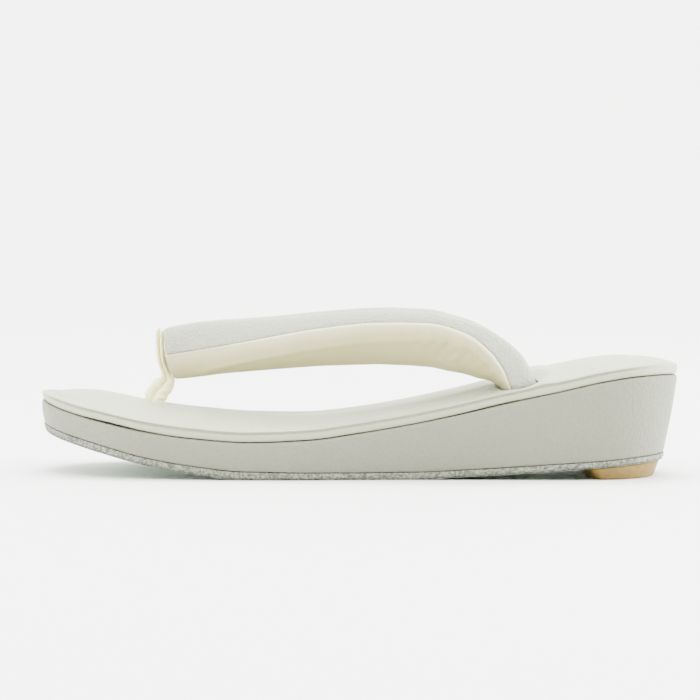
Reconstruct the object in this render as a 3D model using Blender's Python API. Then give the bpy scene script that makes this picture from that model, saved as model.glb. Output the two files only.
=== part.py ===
import bpy
import bmesh
import math
import numpy as np

# Lengths are in millimetres until the meshes are made, and MM turns them into metres.
# The toe points to -X and the heel to +X. The floor is z = 0.
MM = 0.001
WELD = 0.00001
ON_PLANE = 0.000001

# Whole sandal: length, half width at the ball, rise of the outsole at the toe and thickness of the outsole,
# height of the seam at the heel, and how far the side draws in at the back of the heel
LENGTH = 240.0
HALF_WIDTH = 41.6
TOE_RISE = 16.2
OUTSOLE = 2.5
HEEL_HEIGHT = 38.5
HEEL_DRAW_IN = 4.6

# Top cover: height and depth of its rounded edge, and its dome over that edge
COVER_EDGE = 4.7
COVER_EDGE_DEPTH = 5.4
COVER_DOME = 6.2
COVER_UNDER_ROUND = 1.1
COVER_LIP_LIFT = 1.3
COVER_EDGE_STEPS = (18.0, 40.0, 64.0, 90.0)
COVER_TOP_STEPS = (0.30, 0.50, 0.75, 1.0)

# Outline of the ends and the line that the rings are drawn in to
TOE_SHARE = 0.20
HEEL_SHARE = 0.15
TOE_ROUND = 2.3
HEEL_ROUND = 2.4
END_ROUND = 2.1
TOE_SPINE = 0.16
HEEL_SPINE = 0.86
RING_POINTS = 64
GAP = 0.3

# Rows along the length, each value a share of the size named in LENGTH_SIZES: half width of the top, underside
# of the outsole, its thickness, seam between side and cover, height and depth of the cover's rounded edge,
# dome of the cover, and how far the side has drawn in where it meets the outsole
LENGTH_COLUMNS = ("share", "half_width", "under", "outsole", "seam", "edge", "edge_depth", "dome", "draw_in")
LENGTH_SIZES = (1.0, HALF_WIDTH, TOE_RISE, OUTSOLE, HEEL_HEIGHT, COVER_EDGE, COVER_EDGE_DEPTH, COVER_DOME,
                HEEL_DRAW_IN)
LENGTH_ROWS = (
    (0.00, 0.913, 1.000, 0.960, 0.706, 0.681, 0.833, 0.065, 0.174),
    (0.03, 0.921, 0.852, 1.040, 0.647, 0.830, 0.889, 0.419, 0.174),
    (0.07, 0.928, 0.698, 1.080, 0.582, 0.936, 0.926, 0.790, 0.196),
    (0.11, 0.942, 0.549, 1.080, 0.527, 1.000, 0.963, 1.000, 0.217),
    (0.17, 0.966, 0.333, 1.040, 0.452, 1.000, 1.000, 0.952, 0.239),
    (0.25, 0.993, 0.123, 1.120, 0.387, 1.000, 1.000, 0.742, 0.283),
    (0.33, 1.000, 0.000, 1.160, 0.356, 1.000, 1.000, 0.581, 0.348),
    (0.42, 0.969, 0.000, 1.000, 0.377, 0.979, 1.000, 0.435, 0.413),
    (0.50, 0.916, 0.000, 1.000, 0.444, 0.979, 1.000, 0.387, 0.478),
    (0.58, 0.873, 0.000, 1.080, 0.530, 0.979, 1.000, 0.419, 0.543),
    (0.65, 0.851, 0.056, 1.000, 0.621, 0.979, 1.000, 0.484, 0.587),
    (0.72, 0.841, 0.117, 1.000, 0.725, 0.979, 1.000, 0.532, 0.630),
    (0.80, 0.837, 0.198, 1.000, 0.836, 0.979, 1.037, 0.565, 0.696),
    (0.88, 0.834, 0.296, 0.920, 0.948, 0.936, 1.111, 0.516, 0.783),
    (0.93, 0.832, 0.358, 0.920, 0.990, 0.894, 1.296, 0.500, 0.870),
    (0.97, 0.829, 0.395, 0.920, 1.000, 0.809, 1.481, 0.435, 0.957),
    (1.00, 0.829, 0.414, 0.920, 0.982, 0.638, 1.667, 0.242, 1.000),
)

# Wedge body
WEDGE_SHOULDER = 1.0
WEDGE_FOOT_ROUND = 0.5

# Outsole
OUTSOLE_ROUND = 0.5

# Heel rubber
RUBBER_LENGTH = 31.0
RUBBER_MARGIN = 1.6
RUBBER_TAPER = 1.9
RUBBER_CORNER = 7.0
RUBBER_SQUARENESS = 3.0
RUBBER_EDGE = 0.5
RUBBER_POINTS = 40

# Strap branch on the -Y side, from its front end to inside the sole: share of the length, centre as shares of
# the half width and of the strap's rise over the cover, half sizes across and through as shares of the widest
# and thickest, roll of the section with the outer edge up, how far the grey leather wraps below the outer
# edge, both in degrees, and how much fuller the underside is, as a share of the thickest
STRAP_RISE = 26.5
STRAP_HALF_WIDE = 12.1
STRAP_HALF_THICK = 10.3
STRAP_COLUMNS = ("x", "out", "z", "half_wide", "half_thick", "roll", "wrap", "sag")
STRAP_SHARES = (
    (0.1975, 0.108, 0.652, 0.405, 0.951, 0.0, 0.0, 0.00),
    (0.2250, 0.120, 0.738, 0.430, 0.981, 2.0, 0.0, 0.00),
    (0.2667, 0.168, 0.844, 0.521, 1.000, 8.0, 0.0, 0.00),
    (0.3083, 0.224, 0.922, 0.645, 0.981, 14.0, 0.0, 0.00),
    (0.3667, 0.303, 0.992, 0.826, 0.922, 21.0, 0.0, 0.00),
    (0.4417, 0.385, 1.035, 0.959, 0.854, 28.0, 0.0, 0.00),
    (0.5333, 0.462, 0.965, 1.000, 0.806, 33.0, 0.0, 0.04),
    (0.6083, 0.510, 0.834, 1.000, 0.777, 34.0, 2.0, 0.20),
    (0.6583, 0.534, 0.676, 0.975, 0.757, 32.0, 10.0, 0.36),
    (0.7000, 0.548, 0.457, 0.909, 0.728, 27.0, 22.0, 0.36),
    (0.7300, 0.558, 0.208, 0.810, 0.680, 20.0, 32.0, 0.20),
    (0.7475, 0.560, -0.045, 0.719, 0.631, 13.0, 38.0, 0.10),
    (0.7562, 0.560, -0.271, 0.645, 0.592, 10.0, 40.0, 0.06),
    (0.7600, 0.560, -0.506, 0.612, 0.563, 10.0, 40.0, 0.06),
)
STRAP_STATIONS = 27
STRAP_SQUARENESS = 2.6
STRAP_ARC_STEPS = 10
STRAP_END_ROUND = 1.2
STRAP_FRONT_LEAN = 0.38
ROUND_MIDDLE = 0.3
LEATHER = 1.2
SOCKET_STATIONS = 5
CARRY_STEPS = 200
LOOK = 0.4

# Toe loop, from its top down into the sole: share of the length, height as a share of the strap's rise, half
# width and half thickness of each of its two rolls, distance of each roll from the middle as a share of the
# thickest roll too, and twist in degrees
LOOP_HALF_WIDE = 4.8
LOOP_HALF_THICK = 2.0
LOOP_COLUMNS = ("x", "z", "half_wide", "half_thick", "spread", "twist")
LOOP_SHARES = (
    (0.1863, 0.962, 0.958, 0.575, 0.525, 0.0),
    (0.1854, 0.828, 1.000, 0.600, 0.550, 0.0),
    (0.1858, 0.659, 1.000, 0.600, 0.550, 0.0),
    (0.1887, 0.514, 0.938, 0.625, 0.575, 0.0),
    (0.1946, 0.404, 0.792, 0.725, 0.675, 0.0),
    (0.1996, 0.290, 0.542, 0.825, 0.750, -5.0),
    (0.1921, 0.143, 0.479, 0.950, 0.875, 12.0),
    (0.1817, -0.005, 0.479, 0.975, 0.925, 32.0),
    (0.1733, -0.194, 0.458, 0.975, 0.925, 45.0),
    (0.1692, -0.503, 0.458, 0.975, 0.925, 60.0),
)
LOOP_STATIONS = 26
LOOP_ARC_STEPS = 8
LOOP_SOCKET_ROWS = 4
LOOP_SOCKET_STATIONS = 8
LOOP_TIP = 0.15
LOOP_TOP_ROUND = 2.2

# Colours and roughness, and the angle past which an edge is drawn sharp
SMOOTH_ANGLE = 38.0
FINISHES = {
    "outsole": ((0.51, 0.54, 0.50, 1.0), 0.9),
    "heel_rubber": ((0.76, 0.58, 0.35, 1.0), 0.6),
    "wedge_body": ((0.56, 0.56, 0.51, 1.0), 0.5),
    "top_cover": ((0.75, 0.75, 0.72, 1.0), 0.45),
    "strap_cover": ((0.70, 0.71, 0.68, 1.0), 0.45),
    "strap_lining": ((0.68, 0.66, 0.53, 1.0), 0.6),
    "toe_loop": ((0.68, 0.65, 0.50, 1.0), 0.6),
}


class Table:
    """Columns that are read at any place along the first one, with a smooth curve that doesn't overshoot."""

    def __init__(self, columns, rows, key):
        data = np.array(rows, dtype=float)
        self.columns = {name: data[:, i] for i, name in enumerate(columns)}
        self.key = np.array(key, dtype=float)

    def at(self, name, where):
        x = self.key
        y = self.columns[name]
        step = np.diff(x)
        slope = np.diff(y) / step
        tangent = np.zeros_like(y)
        for i in range(1, len(x) - 1):
            if slope[i - 1] * slope[i] > 0.0:
                before = 2.0 * step[i] + step[i - 1]
                after = step[i] + 2.0 * step[i - 1]
                tangent[i] = (before + after) / (before / slope[i - 1] + after / slope[i])
        tangent[0] = slope[0]
        tangent[-1] = slope[-1]
        where = np.clip(where, x[0], x[-1])
        i = np.clip(np.searchsorted(x, where, side="right") - 1, 0, len(x) - 2)
        t = (where - x[i]) / step[i]
        start = (1.0 + 2.0 * t) * (1.0 - t) ** 2
        start_pull = t * (1.0 - t) ** 2
        end = t * t * (3.0 - 2.0 * t)
        end_pull = t * t * (t - 1.0)
        return (start * y[i] + start_pull * step[i] * tangent[i]
                + end * y[i + 1] + end_pull * step[i] * tangent[i + 1])


LENGTHS = Table(LENGTH_COLUMNS, np.array(LENGTH_ROWS) * np.array(LENGTH_SIZES), [row[0] for row in LENGTH_ROWS])


def share_of(x):
    return np.clip(x / LENGTH + 0.5, 0.0, 1.0)


def along(name, x):
    """A size of the length table at a place along the sandal."""
    if name == "outsole_top":
        return LENGTHS.at("under", share_of(x)) + LENGTHS.at("outsole", share_of(x))
    return LENGTHS.at(name, share_of(x))


def crown(x):
    """Height of the cover on the middle plane."""
    return along("seam", x) + GAP + along("edge", x) + along("dome", x)


def strap_rows():
    rows = []
    for share, out, rise, wide, thick, roll, wrap, sag in STRAP_SHARES:
        x = (share - 0.5) * LENGTH
        rows.append((x, out * HALF_WIDTH, crown(x) + rise * STRAP_RISE, wide * STRAP_HALF_WIDE,
                     thick * STRAP_HALF_THICK, roll, wrap, sag * STRAP_HALF_THICK))
    return rows


def loop_rows():
    rows = []
    for share, rise, wide, thick, spread, twist in LOOP_SHARES:
        x = (share - 0.5) * LENGTH
        rows.append((x, crown(x) + rise * STRAP_RISE, wide * LOOP_HALF_WIDE, thick * LOOP_HALF_THICK,
                     spread * LOOP_HALF_THICK, twist))
    return rows


def half_width(x):
    """Half width of the seam outline, full in the middle and rounded at toe and heel."""
    share = share_of(x)
    toe = np.clip((TOE_SHARE - share) / TOE_SHARE, 0.0, 1.0)
    heel = np.clip((share - 1.0 + HEEL_SHARE) / HEEL_SHARE, 0.0, 1.0)
    rounding = (1.0 - toe ** TOE_ROUND) ** (1.0 / END_ROUND) * (1.0 - heel ** HEEL_ROUND) ** (1.0 / END_ROUND)
    return along("half_width", x) * rounding


def outline():
    turn = 2.0 * math.pi * np.arange(RING_POINTS) / RING_POINTS
    x = -0.5 * LENGTH * np.cos(turn)
    side = -np.sign(np.round(np.sin(turn), 6))
    return np.column_stack((x, side * half_width(x)))


OUTLINE = outline()
SPINE = np.column_stack((
    np.clip(OUTLINE[:, 0], (TOE_SPINE - 0.5) * LENGTH, (HEEL_SPINE - 0.5) * LENGTH),
    np.zeros(RING_POINTS)))
REACH = np.linalg.norm(SPINE - OUTLINE, axis=1)


def inset_ring(distance):
    """The outline drawn in towards the spine by a distance, a number or one for each point."""
    share = np.clip(distance / REACH, 0.0, 1.0)
    return OUTLINE + (SPINE - OUTLINE) * share[:, None]


def with_height(ring, height):
    return np.column_stack((ring, height))


def make_object(name, rings, ends="point"):
    """Join rings of points into one closed body; each end runs to the spine or is capped flat."""
    mesh_builder = bmesh.new()
    rows = [[mesh_builder.verts.new(point * MM) for point in ring] for ring in rings]
    count = len(rows[0])
    for lower, upper in zip(rows, rows[1:]):
        for i in range(count):
            j = (i + 1) % count
            mesh_builder.faces.new((lower[i], lower[j], upper[j], upper[i]))
    if ends == "cap":
        mesh_builder.faces.new(rows[0])
        mesh_builder.faces.new(rows[-1])
    bmesh.ops.remove_doubles(mesh_builder, verts=mesh_builder.verts, dist=WELD)
    bmesh.ops.recalc_face_normals(mesh_builder, faces=mesh_builder.faces)
    mesh = bpy.data.meshes.new(name)
    mesh_builder.to_mesh(mesh)
    mesh_builder.free()
    made = bpy.data.objects.new(name, mesh)
    bpy.context.scene.collection.objects.link(made)
    return made


def settle(made):
    """Replace the object's mesh by what its modifiers make of it."""
    bpy.context.view_layer.update()
    graph = bpy.context.evaluated_depsgraph_get()
    mesh = bpy.data.meshes.new_from_object(made.evaluated_get(graph))
    made.modifiers.clear()
    made.data = mesh


def cut(made, cutter):
    change = made.modifiers.new("cut", "BOOLEAN")
    change.operation = "DIFFERENCE"
    change.solver = "EXACT"
    change.object = cutter
    settle(made)


def mirror_across(made):
    """Cut the branch off at the middle plane and join it to its mirror image."""
    builder = bmesh.new()
    builder.from_mesh(made.data)
    bmesh.ops.triangulate(builder, faces=builder.faces)
    everything = builder.verts[:] + builder.edges[:] + builder.faces[:]
    bmesh.ops.bisect_plane(builder, geom=everything, dist=ON_PLANE, plane_co=(0.0, 0.0, 0.0),
                           plane_no=(0.0, 1.0, 0.0), clear_outer=True)
    for vertex in builder.verts:
        if abs(vertex.co.y) < 2.0 * ON_PLANE:
            vertex.co.y = 0.0
    copied = bmesh.ops.duplicate(builder, geom=builder.verts[:] + builder.edges[:] + builder.faces[:])["geom"]
    for item in copied:
        if isinstance(item, bmesh.types.BMVert):
            item.co.y = -item.co.y
    middle = [v for v in builder.verts if v.co.y == 0.0]
    bmesh.ops.remove_doubles(builder, verts=middle, dist=ON_PLANE)
    bmesh.ops.recalc_face_normals(builder, faces=builder.faces)
    builder.to_mesh(made.data)
    builder.free()


def finish(made):
    colour, roughness = FINISHES[made.name]
    material = bpy.data.materials.new(made.name)
    material.use_nodes = True
    shader = material.node_tree.nodes["Principled BSDF"]
    shader.inputs["Base Color"].default_value = colour
    shader.inputs["Roughness"].default_value = roughness
    made.data.materials.clear()
    made.data.materials.append(material)
    made.data.polygons.foreach_set("use_smooth", [True] * len(made.data.polygons))
    made.data.set_sharp_from_angle(angle=math.radians(SMOOTH_ANGLE))


def level(distance, column, lift):
    """A ring at one of the heights of the length table."""
    ring = inset_ring(distance)
    return with_height(ring, along(column, ring[:, 0]) + lift)


def spread_in(start, shares, column, lift):
    """Rings from near the edge to the spine, all at one height of the length table."""
    return [level(start + (REACH - start) * share, column, lift) for share in shares]


def make_top_cover():
    rings = []
    under = COVER_UNDER_ROUND
    rings += spread_in(under, (1.0, 0.5, 0.0), "seam", GAP)
    rings.append(level(ROUND_MIDDLE * under, "seam", GAP + ROUND_MIDDLE * under))
    rings.append(level(0.0, "seam", GAP + COVER_LIP_LIFT))
    depth = along("edge_depth", OUTLINE[:, 0])
    for angle in COVER_EDGE_STEPS:
        turn = math.radians(angle)
        ring = inset_ring(depth * (1.0 - math.cos(turn)))
        rise = along("edge", ring[:, 0]) - COVER_LIP_LIFT
        height = along("seam", ring[:, 0]) + GAP + COVER_LIP_LIFT + rise * math.sin(turn)
        rings.append(with_height(ring, height))
    for share in COVER_TOP_STEPS:
        ring = inset_ring(depth + (REACH - depth) * share)
        height = along("seam", ring[:, 0]) + GAP + along("edge", ring[:, 0])
        height = height + along("dome", ring[:, 0]) * (1.0 - (1.0 - share) ** 2)
        rings.append(with_height(ring, height))
    return make_object("top_cover", rings)


def make_wedge_body():
    draw_in = along("draw_in", OUTLINE[:, 0])
    rings = []
    rings += spread_in(draw_in + WEDGE_FOOT_ROUND, (1.0, 0.5, 0.0), "outsole_top", GAP)
    rings.append(level(draw_in, "outsole_top", GAP + WEDGE_FOOT_ROUND))
    foot = rings[-1]
    shoulder = level(0.0, "seam", -WEDGE_SHOULDER)
    rings.append(0.5 * (foot + shoulder))
    rings.append(shoulder)
    rings.append(level(ROUND_MIDDLE * WEDGE_SHOULDER, "seam", -ROUND_MIDDLE * WEDGE_SHOULDER))
    rings += spread_in(WEDGE_SHOULDER, (0.0, 0.5, 1.0), "seam", 0.0)
    return make_object("wedge_body", rings)


def make_outsole():
    draw_in = along("draw_in", OUTLINE[:, 0])
    rings = []
    rings += spread_in(draw_in + OUTSOLE_ROUND, (1.0, 0.5, 0.0), "under", 0.0)
    rings.append(level(draw_in, "under", OUTSOLE_ROUND))
    rings.append(level(draw_in, "outsole_top", 0.0))
    rings += spread_in(draw_in + OUTSOLE_ROUND, (0.5, 1.0), "outsole_top", 0.0)
    return make_object("outsole", rings)


def rubber_ring(margin):
    """Outline of the heel rubber: across the front with round corners, then along the outsole's edge."""
    edge = inset_ring(along("draw_in", OUTLINE[:, 0]) + RUBBER_MARGIN + margin)[:RING_POINTS // 2 + 1]
    back = edge[-1, 0]
    full_back = 0.5 * LENGTH - HEEL_DRAW_IN - RUBBER_MARGIN
    front = full_back - RUBBER_LENGTH + margin
    turn = 2.0 * math.pi * np.arange(RUBBER_POINTS) / RUBBER_POINTS
    x = 0.5 * (front + back) - 0.5 * (back - front) * np.cos(turn)
    corner = np.clip((front + RUBBER_CORNER - x) / RUBBER_CORNER, 0.0, 1.0)
    rounding = (1.0 - corner ** RUBBER_SQUARENESS) ** (1.0 / RUBBER_SQUARENESS)
    outer = np.interp(x, edge[:, 0], -edge[:, 1]) * rounding
    side = -np.sign(np.round(np.sin(turn), 6))
    return np.column_stack((x, side * outer))


def make_heel_rubber():
    top_ring = rubber_ring(0.0)
    low_ring = rubber_ring(RUBBER_TAPER)
    base_ring = rubber_ring(RUBBER_TAPER + RUBBER_EDGE)
    on_spine = np.array((1.0, 0.0))
    floor = np.zeros(RUBBER_POINTS)
    rings = [
        with_height(base_ring * on_spine, floor),
        with_height(base_ring, floor),
        with_height(low_ring, floor + RUBBER_EDGE),
        with_height(top_ring, along("under", top_ring[:, 0]) - GAP),
        with_height(top_ring * on_spine, along("under", top_ring[:, 0]) - GAP),
    ]
    return make_object("heel_rubber", rings)


def path_table(columns, rows, across):
    """A table of points that is read by the distance along them, and that distance at each row."""
    data = np.array(rows, dtype=float)
    places = [columns.index(name) for name in across]
    chord = np.concatenate(([0.0], np.cumsum(np.linalg.norm(np.diff(data[:, places], axis=0), axis=1))))
    return Table(columns, rows, chord), chord


def strap_frames():
    """Centre, vectors and sizes at even stations of the branch on the -Y side."""
    table, chord = path_table(STRAP_COLUMNS, strap_rows(), ("x", "out", "z"))

    def centre(s):
        return np.array((table.at("x", s), -table.at("out", s), table.at("z", s)))

    # The outward vector is carried along the curve in small steps so that it doesn't twist by itself
    outward = np.array((0.0, -1.0, 0.0))
    carried = []
    for s in np.linspace(0.0, chord[-1], CARRY_STEPS):
        ahead = centre(min(s + LOOK, chord[-1]))
        behind = centre(max(s - LOOK, 0.0))
        tangent = (ahead - behind) / np.linalg.norm(ahead - behind)
        outward = outward - tangent * np.dot(outward, tangent)
        outward = outward / np.linalg.norm(outward)
        carried.append((tangent, outward))
    frames = []
    for s in np.linspace(0.0, chord[-1], STRAP_STATIONS):
        tangent, out = carried[int(round(s / chord[-1] * (CARRY_STEPS - 1)))]
        up = np.cross(out, tangent)
        roll = math.radians(float(table.at("roll", s)))
        frames.append({
            "centre": centre(s),
            "tangent": tangent,
            "out": out * math.cos(roll) + up * math.sin(roll),
            "up": up * math.cos(roll) - out * math.sin(roll),
            "wide": float(table.at("half_wide", s)),
            "thick": float(table.at("half_thick", s)),
            "wrap": math.radians(float(table.at("wrap", s))),
            "sag": float(table.at("sag", s)),
            "lean": 0.0,
        })
    return frames


def section_point(frame, angle, inward):
    """A point of the rounded section at an angle from the outward side, drawn in by a distance."""
    wide = frame["wide"]
    thick = frame["thick"]
    if math.sin(angle) < 0.0:
        thick += frame["sag"]
    reach = ((abs(math.cos(angle)) / wide) ** STRAP_SQUARENESS
             + (abs(math.sin(angle)) / thick) ** STRAP_SQUARENESS) ** (-1.0 / STRAP_SQUARENESS)
    across = reach * math.cos(angle)
    through = reach * math.sin(angle)
    slope_a = abs(across / wide) ** (STRAP_SQUARENESS - 1.0) / wide * np.sign(across)
    slope_t = abs(through / thick) ** (STRAP_SQUARENESS - 1.0) / thick * np.sign(through)
    size = math.hypot(slope_a, slope_t)
    across -= inward * slope_a / size
    through -= inward * slope_t / size
    back = frame["lean"] * max(0.0, -through)
    return frame["centre"] + frame["out"] * across + frame["up"] * through + frame["tangent"] * back


def arc(frame, start, end, inward):
    return [section_point(frame, start + (end - start) * i / STRAP_ARC_STEPS, inward)
            for i in range(STRAP_ARC_STEPS + 1)]


def leather_section(frame):
    start = -frame["wrap"]
    return np.array(arc(frame, start, math.pi, 0.0) + arc(frame, math.pi, start, LEATHER))


def lining_section(frame):
    seam_gap = GAP / frame["wide"]
    start = -frame["wrap"] - seam_gap
    end = math.pi + seam_gap
    upper = arc(frame, start, end, LEATHER + GAP)
    lower = arc(frame, end, start + 2.0 * math.pi, 0.0)
    return np.array(upper + lower)


def drawn_end(frame, inward, back):
    """A copy of a station with a smaller section, moved along the branch."""
    smaller = dict(frame)
    smaller["wide"] = frame["wide"] - inward
    smaller["thick"] = frame["thick"] - inward
    smaller["centre"] = frame["centre"] + frame["tangent"] * back
    return smaller


def make_strap_piece(name, section):
    frames = strap_frames()
    front = frames[0]
    front["lean"] = STRAP_FRONT_LEAN
    frames[0] = drawn_end(front, 0.0, STRAP_END_ROUND)
    turn = ROUND_MIDDLE * STRAP_END_ROUND
    frames.insert(0, drawn_end(front, turn, turn))
    frames.insert(0, drawn_end(front, STRAP_END_ROUND, 0.0))
    made = make_object(name, [section(frame) for frame in frames], ends="cap")
    mirror_across(made)
    return made


def make_strap_socket():
    """Cutter for the hole that a branch goes into, one gap wider than the branch all round."""
    frames = strap_frames()[-SOCKET_STATIONS:]
    last = frames[-1]
    frames.append(drawn_end(last, 0.0, 2.0 * GAP))
    rings = [np.array([section_point(frame, 2.0 * math.pi * i / (2 * STRAP_ARC_STEPS), -GAP)
                       for i in range(2 * STRAP_ARC_STEPS)]) for frame in frames]
    return make_object("strap_socket", rings, ends="cap")


def loop_sections(first_row, stations, grow, further):
    """Sections of two rolls side by side, from a row of the loop's table to its end in the sole."""
    table, chord = path_table(LOOP_COLUMNS, loop_rows(), ("x", "z"))
    places = np.linspace(chord[first_row], chord[-1], stations)
    side = np.array((0.0, 1.0, 0.0))
    sections = []
    for s in places:
        ahead = min(s + LOOK, chord[-1])
        behind = max(s - LOOK, 0.0)
        tangent = np.array((table.at("x", ahead) - table.at("x", behind), 0.0,
                            table.at("z", ahead) - table.at("z", behind)))
        tangent = tangent / np.linalg.norm(tangent)
        through = np.cross(side, tangent)
        twist = math.radians(float(table.at("twist", s)))
        u = through * math.cos(twist) + side * math.sin(twist)
        v = side * math.cos(twist) - through * math.sin(twist)
        centre = np.array((table.at("x", s), 0.0, table.at("z", s)))
        if s == places[-1]:
            centre = centre + tangent * further
        # The top of the loop is rounded over this length
        rounding = min(1.0, (s + LOOP_TIP) / LOOP_TOP_ROUND)
        full = math.sqrt(1.0 - (1.0 - rounding) ** 2)
        thick = float(table.at("half_thick", s)) * full + grow
        wide = float(table.at("half_wide", s)) - LOOP_TOP_ROUND * (1.0 - full) + grow
        spread = float(table.at("spread", s)) * full
        meet = math.acos(-spread / thick)
        ring = []
        for lobe in (1.0, -1.0):
            for i in range(LOOP_ARC_STEPS):
                angle = -meet + 2.0 * meet * i / LOOP_ARC_STEPS
                apart = spread + thick * math.cos(angle)
                ring.append(centre + u * lobe * apart + v * lobe * wide * math.sin(angle))
        sections.append(np.array(ring))
    return sections


def make_toe_loop():
    return make_object("toe_loop", loop_sections(0, LOOP_STATIONS, 0.0, 0.0), ends="cap")


def make_loop_socket():
    first_row = len(LOOP_SHARES) - LOOP_SOCKET_ROWS
    return make_object("loop_socket", loop_sections(first_row, LOOP_SOCKET_STATIONS, GAP, 2.0 * GAP), ends="cap")


def remove(made):
    bpy.data.objects.remove(made, do_unlink=True)


def main():
    for old in list(bpy.data.objects):
        bpy.data.objects.remove(old, do_unlink=True)
    top_cover = make_top_cover()
    wedge_body = make_wedge_body()
    outsole = make_outsole()
    heel_rubber = make_heel_rubber()
    strap_cover = make_strap_piece("strap_cover", leather_section)
    strap_lining = make_strap_piece("strap_lining", lining_section)
    toe_loop = make_toe_loop()
    near_socket = make_strap_socket()
    far_socket = make_strap_socket()
    far_socket.scale = (1.0, -1.0, 1.0)
    loop_socket = make_loop_socket()
    for body in (top_cover, wedge_body):
        for socket in (near_socket, far_socket, loop_socket):
            cut(body, socket)
    for socket in (near_socket, far_socket, loop_socket):
        remove(socket)
    for made in (outsole, heel_rubber, wedge_body, top_cover, strap_cover, strap_lining, toe_loop):
        finish(made)


main()
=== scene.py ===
import math

import bpy
import numpy as np
from bpy.props import FloatProperty, FloatVectorProperty, IntProperty, PointerProperty
from bpy.types import Operator, Panel, PropertyGroup
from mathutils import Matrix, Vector, noise


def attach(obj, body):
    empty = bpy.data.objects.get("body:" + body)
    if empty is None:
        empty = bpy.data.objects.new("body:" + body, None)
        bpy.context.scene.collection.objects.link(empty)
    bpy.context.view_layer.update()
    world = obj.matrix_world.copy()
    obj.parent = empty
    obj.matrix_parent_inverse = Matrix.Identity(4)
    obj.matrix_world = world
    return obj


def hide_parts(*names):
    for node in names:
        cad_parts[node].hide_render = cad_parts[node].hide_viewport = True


bl_info = {
    "name": "Zori Sandal",
    "version": (1, 0, 0),
    "blender": (4, 5, 0),
    "location": "View3D > Sidebar > Zori",
    "description": "Dresses the zori sandal: sole, cover, straps, toe loop and studio",
    "category": "Object",
}

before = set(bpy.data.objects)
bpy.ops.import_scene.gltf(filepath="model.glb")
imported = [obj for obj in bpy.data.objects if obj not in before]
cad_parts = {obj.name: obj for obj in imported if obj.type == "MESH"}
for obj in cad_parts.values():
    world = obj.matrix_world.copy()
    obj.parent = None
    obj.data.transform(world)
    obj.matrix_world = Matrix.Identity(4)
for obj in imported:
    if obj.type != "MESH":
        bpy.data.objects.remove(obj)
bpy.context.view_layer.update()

MM = 0.001

# Sizes of the sandal in millimetres, as the solids have them
LENGTH = 240.0
HALF_WIDTH = 41.6
TOE_RISE = 16.2
OUTSOLE = 2.5
HEEL_HEIGHT = 38.5
HEEL_DRAW_IN = 4.6
COVER_EDGE = 4.7
COVER_EDGE_DEPTH = 5.4
COVER_DOME = 6.2
STRAP_RISE = 26.5
STRAP_HALF_WIDE = 12.1
STRAP_HALF_THICK = 10.3
STRAP_SQUARENESS = 2.6
LEATHER = 1.2
GAP = 0.3
TOE_SHARE, HEEL_SHARE = 0.20, 0.15
TOE_ROUND, HEEL_ROUND, END_ROUND = 2.3, 2.4, 2.1
TOE_SPINE, HEEL_SPINE = 0.16, 0.86
RUBBER_LENGTH, RUBBER_MARGIN, RUBBER_TAPER, RUBBER_CORNER = 31.0, 1.6, 1.9, 7.0

# Metres within which points are one: in a loft, at the cut in the middle plane, and across the mirror
WELD, CUT_WELD, MIRROR_WELD, IN_PLANE = 0.000002, 0.000001, 0.000004, 0.0000005

# Shares of LENGTH_SIZES along the sandal, as the solids have them, but the cover's edge is thinner at the
# toe and fuller at the heel. The straps stand over the dome, and skin is the leather's own height over its
# edge.
LENGTH_COLUMNS = ("share", "half_width", "under", "outsole", "seam", "edge", "edge_depth", "dome", "draw_in",
                  "skin")
LENGTH_SIZES = (1.0, HALF_WIDTH, TOE_RISE, OUTSOLE, HEEL_HEIGHT, COVER_EDGE, COVER_EDGE_DEPTH, COVER_DOME,
                HEEL_DRAW_IN, COVER_DOME)
LENGTH_ROWS = (
    (0.00, 0.913, 1.000, 0.960, 0.706, 0.570, 0.833, 0.065, 0.174, 0.600),
    (0.03, 0.921, 0.852, 1.040, 0.647, 0.840, 0.889, 0.419, 0.174, 0.890),
    (0.07, 0.928, 0.698, 1.080, 0.582, 0.936, 0.926, 0.790, 0.196, 0.870),
    (0.11, 0.942, 0.549, 1.080, 0.527, 1.000, 0.963, 1.000, 0.217, 0.705),
    (0.17, 0.966, 0.333, 1.040, 0.452, 1.000, 1.000, 0.952, 0.239, 0.610),
    (0.25, 0.993, 0.123, 1.120, 0.387, 1.000, 1.000, 0.742, 0.283, 0.620),
    (0.33, 1.000, 0.000, 1.160, 0.356, 1.000, 1.000, 0.581, 0.348, 0.581),
    (0.42, 0.969, 0.000, 1.000, 0.377, 0.979, 1.000, 0.435, 0.413, 0.435),
    (0.50, 0.916, 0.000, 1.000, 0.444, 0.979, 1.000, 0.387, 0.478, 0.387),
    (0.58, 0.873, 0.000, 1.080, 0.530, 0.979, 1.000, 0.419, 0.543, 0.419),
    (0.65, 0.851, 0.056, 1.000, 0.621, 0.979, 1.000, 0.484, 0.587, 0.484),
    (0.72, 0.841, 0.117, 1.000, 0.725, 0.979, 1.000, 0.532, 0.630, 0.532),
    (0.80, 0.837, 0.198, 1.000, 0.836, 0.979, 1.037, 0.565, 0.696, 0.565),
    (0.88, 0.834, 0.296, 0.920, 0.948, 0.936, 1.111, 0.516, 0.783, 0.530),
    (0.93, 0.832, 0.358, 0.920, 0.990, 0.950, 1.170, 0.500, 0.870, 0.490),
    (0.97, 0.829, 0.395, 0.920, 1.000, 1.010, 1.180, 0.435, 0.957, 0.460),
    (1.00, 0.829, 0.414, 0.920, 0.982, 0.960, 1.200, 0.242, 1.000, 0.400),
)

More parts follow.
